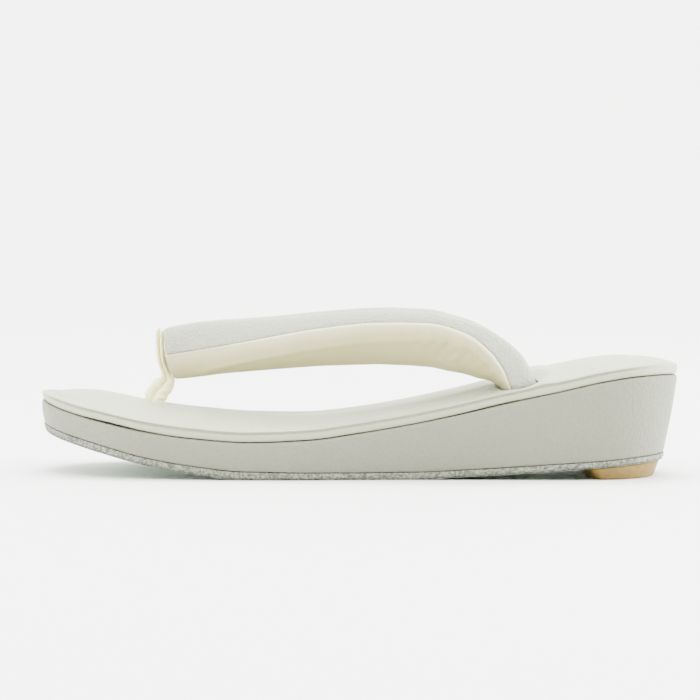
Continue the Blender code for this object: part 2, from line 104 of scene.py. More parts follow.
# One strap branch: place along the sandal, outwards and above the cover, half sizes, roll, leather's wrap
# below the outer edge, how much fuller the underside is, the angle of the lining's fold below the outer
# edge, and how much flatter the upper side is
STRAP_COLUMNS = ("x", "out", "z", "wide", "thick", "roll", "wrap", "sag", "fold", "less")
STRAP_SHARES = (
    (0.1975, 0.108, 0.652, 0.405, 0.951, 0.0, 0.0, 0.00, 88.0, 0.00),
    (0.2250, 0.120, 0.738, 0.430, 0.981, 2.0, 0.0, 0.00, 80.0, 0.00),
    (0.2667, 0.168, 0.844, 0.521, 1.000, 8.0, 0.0, 0.00, 66.0, 0.00),
    (0.3083, 0.224, 0.922, 0.645, 0.981, 14.0, 0.0, 0.00, 55.0, 0.00),
    (0.3667, 0.303, 0.992, 0.826, 0.922, 21.0, 0.0, 0.00, 47.0, 0.00),
    (0.4417, 0.385, 1.035, 0.959, 0.854, 28.0, 0.0, 0.00, 42.0, 0.00),
    (0.5333, 0.462, 0.965, 1.000, 0.806, 33.0, 0.0, 0.04, 39.0, 0.00),
    (0.6083, 0.510, 0.834, 1.000, 0.777, 34.0, 2.0, 0.20, 36.0, 0.08),
    (0.6583, 0.534, 0.676, 0.975, 0.757, 32.0, 10.0, 0.36, 37.0, 0.25),
    (0.7000, 0.548, 0.457, 0.909, 0.728, 27.0, 22.0, 0.36, 46.0, 0.28),
    (0.7300, 0.558, 0.208, 0.810, 0.680, 20.0, 32.0, 0.20, 60.0, 0.22),
    (0.7475, 0.560, -0.045, 0.719, 0.631, 13.0, 38.0, 0.10, 76.0, 0.19),
    (0.7562, 0.560, -0.271, 0.645, 0.592, 10.0, 40.0, 0.06, 78.0, 0.16),
    (0.7600, 0.560, -0.506, 0.612, 0.563, 10.0, 40.0, 0.06, 78.0, 0.16),
)
STRAP_SOCKET_ROW = 9

# The toe loop: place along the sandal, height over the cover, half width and half thickness of its two
# rolls, their distance from the middle, and the twist of the pair in degrees
LOOP_COLUMNS = ("x", "z", "half_wide", "half_thick", "spread", "twist")
LOOP_HALF_WIDE, LOOP_HALF_THICK = 4.8, 2.0
LOOP_SHARES = (
    (0.1842, 1.000, 0.958, 0.450, 0.370, 0.0),
    (0.1842, 0.830, 1.000, 0.450, 0.370, 0.0),
    (0.1852, 0.660, 1.000, 0.450, 0.370, 0.0),
    (0.1872, 0.530, 0.950, 0.445, 0.360, 0.0),
    (0.1910, 0.430, 0.800, 0.440, 0.350, 0.0),
    (0.1946, 0.345, 0.600, 0.520, 0.420, 0.0),
    (0.1950, 0.265, 0.500, 0.880, 0.800, 4.0),
    (0.1867, 0.140, 0.480, 1.060, 1.000, 14.0),
    (0.1779, -0.010, 0.480, 1.120, 1.060, 30.0),
    (0.1733, -0.194, 0.458, 1.060, 1.000, 45.0),
    (0.1692, -0.503, 0.458, 1.000, 0.950, 60.0),
)
LOOP_SOCKET_ROW = 7


class Table:
    """Columns read at any place along the first one, on a smooth curve that doesn't overshoot."""

    def __init__(self, columns, rows, key):
        data = np.array(rows, dtype=float)
        self.columns = {name: data[:, i] for i, name in enumerate(columns)}
        self.key = np.array(key, dtype=float)
        self.slopes = {name: self.tangents(values) for name, values in self.columns.items()}

    def tangents(self, values):
        step = np.diff(self.key)
        slope = np.diff(values) / step
        tangent = np.zeros_like(values)
        for i in range(1, len(values) - 1):
            if slope[i - 1] * slope[i] > 0.0:
                before = 2.0 * step[i] + step[i - 1]
                after = step[i] + 2.0 * step[i - 1]
                tangent[i] = (before + after) / (before / slope[i - 1] + after / slope[i])
        tangent[0], tangent[-1] = slope[0], slope[-1]
        return tangent

    def at(self, name, where):
        x, y, tangent = self.key, self.columns[name], self.slopes[name]
        where = np.clip(where, x[0], x[-1])
        i = np.clip(np.searchsorted(x, where, side="right") - 1, 0, len(x) - 2)
        step = x[i + 1] - x[i]
        t = (where - x[i]) / step
        return ((1.0 + 2.0 * t) * (1.0 - t) ** 2 * y[i] + t * (1.0 - t) ** 2 * step * tangent[i]
                + t * t * (3.0 - 2.0 * t) * y[i + 1] + t * t * (t - 1.0) * step * tangent[i + 1])


LENGTHS = Table(LENGTH_COLUMNS, np.array(LENGTH_ROWS) * np.array(LENGTH_SIZES),
                [row[0] for row in LENGTH_ROWS])


def along(name, x):
    """A size of the length table at a place along the sandal."""
    share = np.clip(x / LENGTH + 0.5, 0.0, 1.0)
    if name == "outsole_top":
        return LENGTHS.at("under", share) + LENGTHS.at("outsole", share)
    return LENGTHS.at(name, share)


def crown(x):
    return along("seam", x) + GAP + along("edge", x) + along("dome", x)


def half_width(x):
    share = np.clip(x / LENGTH + 0.5, 0.0, 1.0)
    toe = np.clip((TOE_SHARE - share) / TOE_SHARE, 0.0, 1.0)
    heel = np.clip((share - 1.0 + HEEL_SHARE) / HEEL_SHARE, 0.0, 1.0)
    rounding = (1.0 - toe ** TOE_ROUND) ** (1.0 / END_ROUND) * (1.0 - heel ** HEEL_ROUND) ** (1.0 / END_ROUND)
    return along("half_width", x) * rounding


class Outline:
    """The plan outline with a number of points, and rings drawn in from it towards a spine."""

    def __init__(self, count):
        turn = 2.0 * math.pi * np.arange(count) / count
        x = -0.5 * LENGTH * np.cos(turn)
        side = -np.sign(np.round(np.sin(turn), 6))
        self.count = count
        self.points = np.column_stack((x, side * half_width(x)))
        spine = np.clip(x, (TOE_SPINE - 0.5) * LENGTH, (HEEL_SPINE - 0.5) * LENGTH)
        self.spine = np.column_stack((spine, np.zeros(count)))
        self.reach = np.linalg.norm(self.spine - self.points, axis=1)
        self.draw_in = along("draw_in", x)
        self.outward = (self.points - self.spine) / self.reach[:, None]

    def ring(self, inset, column, lift):
        share = np.clip(inset / self.reach, 0.0, 1.0)
        plan = self.points + (self.spine - self.points) * share[:, None]
        return np.column_stack((plan, along(column, plan[:, 0]) + lift))

    def fan(self, inset, shares, column, lift):
        return [self.ring(inset + (self.reach - inset) * share, column, lift) for share in shares]


def smooth_step(low, high, value):
    t = np.clip((value - low) / (high - low), 0.0, 1.0)
    return t * t * (3.0 - 2.0 * t)


def hump(value, middle, width):
    """1 at the middle and 0 a few widths away."""
    return np.exp(-((value - middle) / width) ** 2)


SEED_STEPS = (7.1, 3.7, 1.3)


def wobble(points, size, seed):
    """Smooth unevenness from -1 to 1 at each point, the same on every run."""
    shift = Vector([seed * step for step in SEED_STEPS])
    return np.array([noise.noise(Vector(point) / size + shift) for point in points])


def deselect():
    if bpy.context.object and bpy.context.object.mode != "OBJECT":
        bpy.ops.object.mode_set(mode="OBJECT")
    bpy.ops.object.select_all(action="DESELECT")


def pick(piece):
    deselect()
    piece.select_set(True)
    bpy.context.view_layer.objects.active = piece


def loft(name, rings, cap=False, values=None):
    """A circle is extruded ring by ring into a tube, whose rings are then moved to their places."""
    count = len(rings[0])
    deselect()
    bpy.ops.mesh.primitive_circle_add(vertices=count, radius=1.0, fill_type="NGON" if cap else "NOTHING",
                                      location=(0.0, 0.0, 0.0))
    piece = bpy.context.active_object
    piece.name = name
    piece.data.name = name
    bpy.ops.object.mode_set(mode="EDIT")
    bpy.ops.mesh.select_all(action="SELECT")
    for _ in range(len(rings) - 1):
        bpy.ops.mesh.extrude_region_move(TRANSFORM_OT_translate={"value": (0.0, 0.0, 1.0)})
    bpy.ops.object.mode_set(mode="OBJECT")
    tube = np.empty(len(piece.data.vertices) * 3)
    piece.data.vertices.foreach_get("co", tube)
    tube = tube.reshape(-1, 3)
    place = np.round(np.arctan2(tube[:, 1], tube[:, 0]) / (2.0 * math.pi) * count).astype(int) % count
    level = np.round(tube[:, 2]).astype(int)
    stacked = np.stack(rings)
    piece.data.vertices.foreach_set("co", (stacked[level, place] * MM).ravel())
    for label, table in (values or {}).items():
        layer = piece.data.attributes.new(label, "FLOAT", "POINT")
        layer.data.foreach_set("value", np.asarray(table, dtype=float)[level, place])
    bpy.ops.object.mode_set(mode="EDIT")
    bpy.ops.mesh.select_all(action="SELECT")
    bpy.ops.mesh.remove_doubles(threshold=WELD)
    bpy.ops.mesh.normals_make_consistent(inside=False)
    bpy.ops.object.mode_set(mode="OBJECT")
    return piece


def mirror_branch(piece):
    """Cut the branch at the middle plane and weld it to its mirror image."""
    pick(piece)
    bpy.ops.object.mode_set(mode="EDIT")
    bpy.ops.mesh.select_all(action="SELECT")
    bpy.ops.mesh.bisect(plane_co=(0.0, 0.0, 0.0), plane_no=(0.0, 1.0, 0.0), clear_outer=True,
                        threshold=CUT_WELD)
    bpy.ops.object.mode_set(mode="OBJECT")
    mirror = piece.modifiers.new("other branch", "MIRROR")
    mirror.use_axis = (False, True, False)
    mirror.merge_threshold = MIRROR_WELD
    bpy.ops.object.modifier_apply(modifier=mirror.name)
    bpy.ops.object.mode_set(mode="EDIT")
    bpy.ops.mesh.select_mode(type="FACE")
    bpy.ops.mesh.select_all(action="DESELECT")
    bpy.ops.object.mode_set(mode="OBJECT")
    # The cut can leave a sliver that lies in the middle plane, between the two branches
    for face in piece.data.polygons:
        face.select = all(abs(piece.data.vertices[i].co.y) < IN_PLANE for i in face.vertices)
    bpy.ops.object.mode_set(mode="EDIT")
    bpy.ops.mesh.delete(type="ONLY_FACE")
    bpy.ops.mesh.select_all(action="SELECT")
    bpy.ops.mesh.delete_loose()
    bpy.ops.mesh.select_all(action="SELECT")
    bpy.ops.mesh.normals_make_consistent(inside=False)
    bpy.ops.mesh.select_mode(type="VERT")
    bpy.ops.object.mode_set(mode="OBJECT")


def finish_piece(piece, material, angle, slot, *nodes):
    """Smooth shading, one material, and the piece stands for its solids."""
    pick(piece)
    bpy.ops.object.shade_smooth_by_angle(angle=math.radians(angle))
    piece.data.materials.clear()
    piece.data.materials.append(material)
    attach(piece, "root")
    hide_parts(*nodes)
    deselect()


class Wire:
    """A shader socket that takes part in Python arithmetic; each operation adds a Math node."""

    def __init__(self, paint, socket):
        self.paint = paint
        self.socket = socket

    def math(self, operation, *inputs):
        return self.paint.node("ShaderNodeMath", {"operation": operation}, dict(enumerate(inputs)))

    def __add__(self, other):
        return self.math("ADD", self, other)

    def __radd__(self, other):
        return self.math("ADD", other, self)

    def __sub__(self, other):
        return self.math("SUBTRACT", self, other)

    def __rsub__(self, other):
        return self.math("SUBTRACT", other, self)

    def __mul__(self, other):
        return self.math("MULTIPLY", self, other)

    def __rmul__(self, other):
        return self.math("MULTIPLY", other, self)

    def between(self, low, high):
        """0 below low, 1 above high, smooth between."""
        sockets = {"Value": self, "From Min": low, "From Max": high, "To Min": 0.0, "To Max": 1.0}
        return self.paint.node("ShaderNodeMapRange", {"interpolation_type": "SMOOTHSTEP"}, sockets)


class Paint:
    """One material, with its nodes added by name."""

    def __init__(self, name):
        self.material = bpy.data.materials.new(name)
        self.material.use_nodes = True
        self.tree = self.material.node_tree
        self.shader = self.tree.nodes["Principled BSDF"]
        self.place = self.node("ShaderNodeTexCoord", {}, {}, "Object")

    def node(self, kind, settings, inputs, output=0):
        made = self.tree.nodes.new(kind)
        for key, value in settings.items():
            setattr(made, key, value)
        for key, value in inputs.items():
            self.feed(made.inputs[key], value)
        return Wire(self, made.outputs[output])

    def feed(self, socket, value):
        if isinstance(value, Wire):
            self.tree.links.new(value.socket, socket)
        elif socket.type == "RGBA":
            socket.default_value = tuple(value)[:3] + (1.0,)
        else:
            socket.default_value = value

    def grain(self, size, detail=2.0, roughness=0.5, place=None):
        """Cloudy values from 0 to 1, with lumps of that size in millimetres."""
        return self.node("ShaderNodeTexNoise", {}, {"Vector": place or self.place, "Scale": 1.0 / (size * MM),
                                                     "Detail": detail, "Roughness": roughness}, "Fac")

    def pebbles(self, size):
        """Rounded pebbles of that size in millimetres: 1 at their middles and 0 in the creases."""
        sockets = {"Vector": self.place, "Scale": 1.0 / (size * MM), "Smoothness": PEBBLE_SMOOTHNESS}
        return 1.0 - self.node("ShaderNodeTexVoronoi", {"feature": "SMOOTH_F1"}, sockets, "Distance")

    def stretch(self, x, y, z):
        """Object coordinates scaled along each axis."""
        return self.node("ShaderNodeMapping", {}, {"Vector": self.place, "Scale": (x, y, z)}, "Vector")

    def attribute(self, name):
        return self.node("ShaderNodeAttribute", {"attribute_name": name}, {}, "Fac")

    def mix(self, share, first, second):
        made = self.tree.nodes.new("ShaderNodeMix")
        made.data_type = "RGBA"
        self.feed(made.inputs[0], share)
        self.feed(made.inputs[6], first)
        self.feed(made.inputs[7], second)
        return Wire(self, made.outputs[2])

    def apply(self, colour, roughness, height, **constants):
        """Colour, roughness, a height in millimetres and constants into the shader's sockets."""
        self.feed(self.shader.inputs["Base Color"], colour)
        self.feed(self.shader.inputs["Roughness"], roughness)
        bump = self.node("ShaderNodeBump", {}, {"Strength": 1.0, "Distance": MM, "Height": height}, "Normal")
        self.feed(self.shader.inputs["Normal"], bump)
        for key, value in constants.items():
            self.feed(self.shader.inputs[key.replace("_", " ")], value)
        return self.material


def shade(colour, factor):
    return tuple(min(1.0, channel * factor) for channel in colour)


# Leather: finer and broader grain as shares of the pebbles, clouds in millimetres, the height of each
# grain, where a pore turns into a pebble, the tones of pores and pebbles, and the painted shade in creases
PEBBLE_SMOOTHNESS = 0.35
FINER, BROADER, LEATHER_CLOUD = 0.45, 9.0, 22.0
PEBBLE_HEIGHT, FINER_HEIGHT, BROADER_HEIGHT = 0.75, 0.35, 0.5
PORE_EDGE = (0.35, 0.62)
PORE_TONE, PEBBLE_TONE, CREASE_SHADE = 0.955, 1.035, 0.35


def leather(name, colour, grain_size, grain_depth, roughness, crease_shade=0.0):
    """Pebbled leather: grain in two sizes, faint clouds, darker pores and painted shade along a crease."""
    paint = Paint(name)
    pebbles = paint.pebbles(grain_size)
    fine = paint.grain(grain_size * FINER, 3.0)
    broad = paint.grain(grain_size * BROADER, 2.0)
    cloud = paint.grain(LEATHER_CLOUD, 3.0)
    height = grain_depth * (PEBBLE_HEIGHT * pebbles + FINER_HEIGHT * fine + BROADER_HEIGHT * broad)
    pores = pebbles.between(*PORE_EDGE)
    tone = paint.mix(pores * 0.5 + cloud * 0.5, shade(colour, PORE_TONE), shade(colour, PEBBLE_TONE))
    # Painted shade: the cover is darkened along its crease and the lip strip under it
    if crease_shade:
        tone = paint.mix(paint.attribute("crease") * crease_shade, tone, shade(colour, CREASE_SHADE))
    return paint.apply(tone, roughness + 0.14 * fine - 0.06 * pores, height, Specular_IOR_Level=0.25,
                       Sheen_Weight=0.04, Sheen_Roughness=0.5)


# Cloth: threads, lumps of yarn and clouds in millimetres, and how high weave and clouds stand
THREAD, YARN, CLOTH_CLOUD = 0.35, 0.9, 9.0
WEAVE_HEIGHT, CLOUD_HEIGHT = 0.05, 0.10


def cloth(name, colour, under_shade, edge):
    """Soft cream cloth: a fine weave, painted shade below the fold and a painted highlight along the seam."""
    paint = Paint(name)
    weave = paint.grain(THREAD, 2.0) * 0.5 + paint.grain(YARN, 2.0) * 0.5
    cloud = paint.grain(CLOTH_CLOUD, 3.0)
    # Painted shade: the lining is darker below its fold, where shade falls, and faint clouds mix in a little
    # of that shaded colour
    tone = paint.mix(paint.attribute("under_shade"), colour, under_shade)
    tone = paint.mix(cloud.between(0.35, 0.7) * 0.3, tone, shade(under_shade, 1.02))
    # Painted highlight: paler along the seams and on the band under the outer seam
    tone = paint.mix(paint.attribute("edge"), tone, edge)
    height = WEAVE_HEIGHT * weave + CLOUD_HEIGHT * cloud
    return paint.apply(tone, 0.62 + 0.12 * weave, height, Specular_IOR_Level=0.35, Sheen_Weight=0.12,
                       Sheen_Roughness=0.45)


def tint(name, description, default):
    return FloatVectorProperty(name=name, description=description, size=3, subtype="COLOR", default=default,
                               min=0.0, max=1.0)


def distance(name, description, default, least=0.0):
    """A setting in the millimetres that the script works in."""
    return FloatProperty(name=name, description=description, default=default, min=least, subtype="DISTANCE")


class ZoriSoleSettings(PropertyGroup):
    """Sizes and finishes of the sole and its cover"""

    points: IntProperty(name="Outline Points", description="Points round the outline", default=224, min=64)
    # The side leather's colour is partly its own grey and partly painted shade: it is kept darker than the
    # cover's for the overhead light that the side gets less of
    side_colour_with_shade: tint("Side Leather", "Grey leather round the wedge", (0.190, 0.196, 0.145))
    cover_colour: tint("Cover Leather", "Pale leather that the foot stands on", (0.398, 0.418, 0.292))
    outsole_colour: tint("Outsole", "Grey fibrous outsole", (0.235, 0.250, 0.190))
    underside_colour: tint("Underside", "Pale green underside of the outsole", (0.085, 0.270, 0.060))
    rubber_colour: tint("Heel Rubber", "Beige heel rubber", (0.275, 0.178, 0.042))
    grain: distance("Leather Grain", "Width of the pebbles in the side leather", 1.25, 0.2)
    fibre: distance("Fibre", "How far the outsole's fibres stand out", 0.22)
    dimple: distance("Dimple", "How far the straps draw the cover down", 1.6)


class ZoriStrapSettings(PropertyGroup):
    """Sizes and finishes of the straps and the toe loop"""

    points: IntProperty(name="Points Around", description="Points round a strap", default=96, min=24)
    stations: IntProperty(name="Stations", description="Rings along a strap branch", default=130, min=30)
    leather_colour: tint("Strap Leather", "Grey upper half of the straps", (0.365, 0.381, 0.294))
    lining_colour: tint("Lining", "Cream lower half of the straps", (0.366, 0.343, 0.170))
    # Painted shade: the lining's colour below the fold, darkened for the shade that falls there
    under_shade_colour: tint("Lining Underside", "Deeper cream below the fold", (0.335, 0.310, 0.142))
    # Painted highlight: the lining's paler colour along the seams and the band under them
    seam_highlight_colour: tint("Lining Edge", "Paler cream where the lining meets the seam", (0.800, 0.765, 0.530))
    loop_colour: tint("Toe Loop", "Pale cream cloth of the toe loop", (0.960, 0.905, 0.520))
    bead: distance("Bead", "Height of the cream edge along the seam", 0.45)
    fold: distance("Fold", "Step of the lining's fold", 0.75)
    crease: distance("Crease", "Depth of the creases in the bend", 0.7)


class ZoriStageSettings(PropertyGroup):
    """Camera, floor and lights"""

    camera_height: FloatProperty(name="Camera Height", description="Height of the lens over the floor",
                                 default=0.085, unit="LENGTH")
    camera_distance: FloatProperty(name="Camera Distance", description="Distance from the middle plane",
                                   default=0.892, unit="LENGTH")
    lens: FloatProperty(name="Lens", description="Focal length in millimetres", default=121.1, min=20.0)
    floor_colour: tint("Floor", "Plain pale floor", (0.96, 0.96, 0.95))
    key: FloatProperty(name="Key Light", description="Power of the light overhead in watts", default=46.0,
                       min=0.0)
    ambient: FloatProperty(name="Ambient", description="Brightness of the studio all round", default=1.1,
                           min=0.0)


# A branch's direction: steps, millimetres looked ahead and behind, and passes of smoothing over the joins
# of the table's curve
WALK_STEPS, WALK_LOOK, WALK_PASSES = 400, 0.4, 12


def strap_frames(stations, first_row=0):
    """Centre, vectors and sizes along the branch on the near side."""
    rows = []
    for share, out, rise, wide, thick, roll, wrap, sag, fold, less in STRAP_SHARES:
        x = (share - 0.5) * LENGTH
        rows.append((x, out * HALF_WIDTH, crown(x) + rise * STRAP_RISE, wide * STRAP_HALF_WIDE,
                     thick * STRAP_HALF_THICK, roll, wrap, sag * STRAP_HALF_THICK, fold,
                     less * STRAP_HALF_THICK))
    data = np.array(rows)
    chord = np.concatenate(([0.0], np.cumsum(np.linalg.norm(np.diff(data[:, :3], axis=0), axis=1))))
    table = Table(STRAP_COLUMNS, rows, chord)
    walk = np.linspace(0.0, chord[-1], WALK_STEPS)

    def centres(s):
        return np.stack((table.at("x", s), -table.at("out", s), table.at("z", s)), axis=-1)

    ahead = centres(np.minimum(walk + WALK_LOOK, chord[-1]))
    behind = centres(np.maximum(walk - WALK_LOOK, 0.0))
    tangents = (ahead - behind) / np.linalg.norm(ahead - behind, axis=1)[:, None]
    for _ in range(WALK_PASSES):
        tangents[1:-1] = 0.25 * tangents[:-2] + 0.5 * tangents[1:-1] + 0.25 * tangents[2:]
    tangents /= np.linalg.norm(tangents, axis=1)[:, None]
    outward = np.array((0.0, -1.0, 0.0))
    carried = []
    for tangent in tangents:
        outward = outward - tangent * np.dot(outward, tangent)
        outward = outward / np.linalg.norm(outward)
        carried.append(outward)
    carried = np.array(carried)
    frames = []
    for s in np.linspace(chord[first_row], chord[-1], stations):
        where = s / chord[-1] * (WALK_STEPS - 1)
        low = min(int(where), WALK_STEPS - 2)
        part = where - low
        tangent = tangents[low] * (1.0 - part) + tangents[low + 1] * part
        tangent /= np.linalg.norm(tangent)
        out = carried[low] * (1.0 - part) + carried[low + 1] * part
        out = out - tangent * np.dot(out, tangent)
        out /= np.linalg.norm(out)
        up = np.cross(out, tangent)
        shape = {name: float(table.at(name, s)) for name in STRAP_COLUMNS[3:]}
        for name in ("roll", "wrap", "fold"):
            shape[name] = math.radians(shape[name])
        cosine, sine = math.cos(shape["roll"]), math.sin(shape["roll"])
        shape.update(s=s, centre=centres(s), tangent=tangent, lean=0.0,
                     out=out * cosine + up * sine, up=up * cosine - out * sine)
        frames.append(shape)
    return frames


def section(shape, angles, inward):
    """Points of a strap's section at angles from its outer edge, each drawn in by a distance."""
    wide, power = shape["wide"], STRAP_SQUARENESS
    thick = shape["thick"] + np.where(np.sin(angles) < 0.0, shape["sag"], -shape["less"])
    reach = (np.abs(np.cos(angles)) / wide) ** power + (np.abs(np.sin(angles)) / thick) ** power
    reach = reach ** (-1.0 / power)
    across, through = reach * np.cos(angles), reach * np.sin(angles)
    slope_a = np.abs(across / wide) ** (power - 1.0) / wide * np.sign(across)
    slope_t = np.abs(through / thick) ** (power - 1.0) / thick * np.sign(through)
    size = np.hypot(slope_a, slope_t)
    across = across - inward * slope_a / size
    through = through - inward * slope_t / size
    back = shape["lean"] * np.maximum(0.0, -through)
    return (shape["centre"] + np.outer(across, shape["out"]) + np.outer(through, shape["up"])
            + np.outer(back, shape["tangent"]))


# The strap's front end: size and stations of its rounding, how far it leans back below, and the lining's
# tongue
END_ROUND_SIZE, END_STEPS, END_CLEAR = 1.2, 4, 0.4
FRONT_LEAN, LEAN_LENGTH = 0.15, 6.0
TONGUE, TONGUE_INSET = 0.9, 2.2


def rounded_front(frames):
    """Extra stations that round the strap's front end over."""
    front = frames[0]
    front["lean"] = FRONT_LEAN
    extra = []
    for i in range(END_STEPS + 1):
        turn = 0.5 * math.pi * i / END_STEPS
        inward = END_ROUND_SIZE * (1.0 - math.sin(turn))
        back = END_ROUND_SIZE * (1.0 - math.cos(turn))
        shape = dict(front)
        shape["wide"] -= inward
        shape["thick"] -= inward
        shape["centre"] = front["centre"] + front["tangent"] * back
        shape["s"] = front["s"] + back
        extra.append(shape)
    spaced = [shape for shape in frames if shape["s"] > front["s"] + END_ROUND_SIZE + END_CLEAR]
    for shape in spaced:
        shape["lean"] = FRONT_LEAN * (1.0 - smooth_step(0.0, LEAN_LENGTH, shape["s"]))
    return extra + spaced


# The leather: how far its cut edges are turned in, and its faint pulls, more of them outside the bend
LIP, LIP_WIDTH = 0.25, 0.05
PULL, PULL_SIZE = 0.10, 9.0
BEND_PULL, BEND, BEND_WIDTH = 0.12, 118.0, 22.0


def leather_ring(shape, count):
    """The leather's section: over the top from the outer to the inner seam and back along its inside."""
    half = count // 2
    angles = np.linspace(-shape["wrap"], math.pi, half)
    lip = LIP * (hump(angles, angles[0], LIP_WIDTH) + hump(angles, angles[-1], LIP_WIDTH))
    return np.vstack((section(shape, angles, lip), section(shape, angles[::-1], LEATHER)))


def push_out(shape, ring, lift):
    """A ring with each point moved away from its centre."""
    away = ring - shape["centre"]
    return ring + away / np.linalg.norm(away, axis=1)[:, None] * lift[:, None]


def make_strap_cover(settings):
    frames = rounded_front(strap_frames(settings.stations))
    rings = [leather_ring(shape, settings.points) for shape in frames]
    for i, (shape, ring) in enumerate(zip(frames, rings)):
        pull = PULL + BEND_PULL * hump(shape["s"], BEND, BEND_WIDTH)
        rings[i] = push_out(shape, ring, pull * wobble(ring, PULL_SIZE, 1))
    piece = loft("strap_cover_leather", rings, cap=True)
    mirror_branch(piece)
    return piece


# Small folds of the lining in the bend: place along the branch in millimetres, reach below the fold in
# degrees, slant in millimetres over that reach, width in millimetres, and share of the full depth
CREASES = (
    (92.0, 34.0, 7.0, 1.1, 0.20),
    (98.0, 46.0, 6.0, 1.3, 0.35),
    (103.0, 38.0, 6.5, 1.0, 0.50),
    (107.0, 58.0, 5.0, 1.2, 1.00),
    (111.5, 40.0, 4.5, 1.0, 0.75),
    (115.5, 62.0, 4.0, 1.3, 0.95),
    (120.0, 44.0, 3.0, 1.1, 0.70),
    (125.0, 52.0, 2.0, 1.2, 0.60),
)
CREASE_STARTS, CREASE_FADES, CREASE_SWELL = (-7.0, 3.0), 0.35, 0.6
# The lining, in millimetres along the branch and radians round it: the fold's ripple, where the fold opens
# and closes, the bead by the seams and its painted highlight, the hollow below the fold, the fold's lip,
# the dip between fold and seam and the painted highlight on the band, the softness of the surface, and
# how far painted shade darkens the lining below the fold
RIPPLE, RIPPLE_STARTS = 0.045, (82.0, 100.0)
FOLD_OPENS, FOLD_CLOSES = (3.0, 26.0), (126.0, 137.0)
BEAD_PLACE, BEAD_WIDTH, BEAD_SHINE = 0.055, 0.035, 0.05
HOLLOW_STARTS, HOLLOW_ENDS = (-0.05, 0.10), (2.3, 2.9)
FOLD_LIP, FOLD_LIP_PLACE, FOLD_LIP_WIDTH = 0.30, 0.07, 0.09
BAND_DIP, BAND_SHINE, BAND_REACH = 0.22, 0.32, 0.75
SOFTNESS, SOFTNESS_SIZE = 0.14, 7.0
UNDER_SHADE_ALWAYS, UNDER_SHADE_OPEN = 0.62, 0.38


def make_strap_lining(settings):
    frames = rounded_front(strap_frames(settings.stations))
    count = settings.points
    upper_count = count // 3
    tongue = dict(frames[0])
    tongue["wide"] -= TONGUE_INSET
    tongue["thick"] -= TONGUE_INSET
    tongue["centre"] = tongue["centre"] - tongue["tangent"] * TONGUE
    frames.insert(0, tongue)
    rings, under_shade, edge = [], [], []
    for shape in frames:
        gap = GAP / shape["wide"]
        start, end = -shape["wrap"] - gap, math.pi + gap
        upper = section(shape, np.linspace(start, end, upper_count), LEATHER + GAP)
        angles = np.linspace(end, start + 2.0 * math.pi, count - upper_count)
        below = 2.0 * math.pi - angles
        s = shape["s"]
        ripple = RIPPLE * smooth_step(*RIPPLE_STARTS, s) * math.sin(1.15 * s + 0.6 * math.sin(0.37 * s))
        fold, seam = shape["fold"] + ripple, shape["wrap"] + gap
        open_up = smooth_step(*FOLD_OPENS, s) * (1.0 - smooth_step(*FOLD_CLOSES, s))

        def by_seams(width):
            return hump(below, seam + BEAD_PLACE, width), hump(angles, end + BEAD_PLACE, width)

        # The bead along both seams, the hollow under the fold, its lip, and the dip between seam and fold
        inward = -settings.bead * sum(by_seams(BEAD_WIDTH))
        under = smooth_step(fold + HOLLOW_STARTS[0], fold + HOLLOW_STARTS[1], below)
        under *= 1.0 - smooth_step(*HOLLOW_ENDS, below)
        inward += settings.fold * open_up * under
        inward -= FOLD_LIP * open_up * hump(below, fold - FOLD_LIP_PLACE, FOLD_LIP_WIDTH)
        inward += BAND_DIP * open_up * hump(below, 0.5 * (seam + fold), 0.5 * (fold - seam))
        from_fold = np.degrees(below - fold)
        for place, reach, slant, width, share in CREASES:
            ends = smooth_step(*CREASE_STARTS, from_fold)
            ends *= 1.0 - smooth_step(CREASE_FADES * reach, reach, from_fold)
            centre = place - slant * from_fold / reach
            inward += settings.crease * share * ends * (hump(s, centre, width)
                                                        - CREASE_SWELL * hump(s, centre + 2.0 * width, width))
        lower = section(shape, angles, inward)
        ring = np.vstack((upper, lower))
        soft = SOFTNESS * wobble(ring, SOFTNESS_SIZE, 2)
        soft[:upper_count] = 0.0
        rings.append(push_out(shape, ring, soft))
        # Painted shade below the fold, stronger where the fold stands open
        under_shade.append(np.concatenate((np.zeros(upper_count), under * (UNDER_SHADE_ALWAYS + UNDER_SHADE_OPEN * open_up))))
        # Painted highlight by both seams and on the band between the outer seam and the fold
        bright = np.maximum(*by_seams(BEAD_SHINE))
        band = 1.0 - smooth_step(seam, seam + BAND_REACH * (fold - seam), below)
        bright = np.maximum(bright, BAND_SHINE * band)
        edge.append(np.concatenate((np.ones(upper_count), bright)))
    piece = loft("strap_lining_cloth", rings, cap=True, values={"under_shade": under_shade, "edge": edge})
    mirror_branch(piece)
    return piece


# The toe loop: its stations and points, its blunt rounded front, how far the rolls overlap, and its
# wrinkles' height, which is greater low down
LOOP_STATIONS, LOOP_POINTS, LOOP_LOOK = 74, 64, 0.9
LOOP_FRONT, LOOP_FRONT_SHARES = 2.0, (0.0, 0.03, 0.12, 0.27, 0.5)
LOOP_ROUNDING, LOOP_BLUNT, LOOP_OVERLAP = 2.2, 0.02, 0.985
LOOP_WRINKLE, LOW_WRINKLE, LOW_STARTS = 0.085, 1.2, (18.0, 23.0)


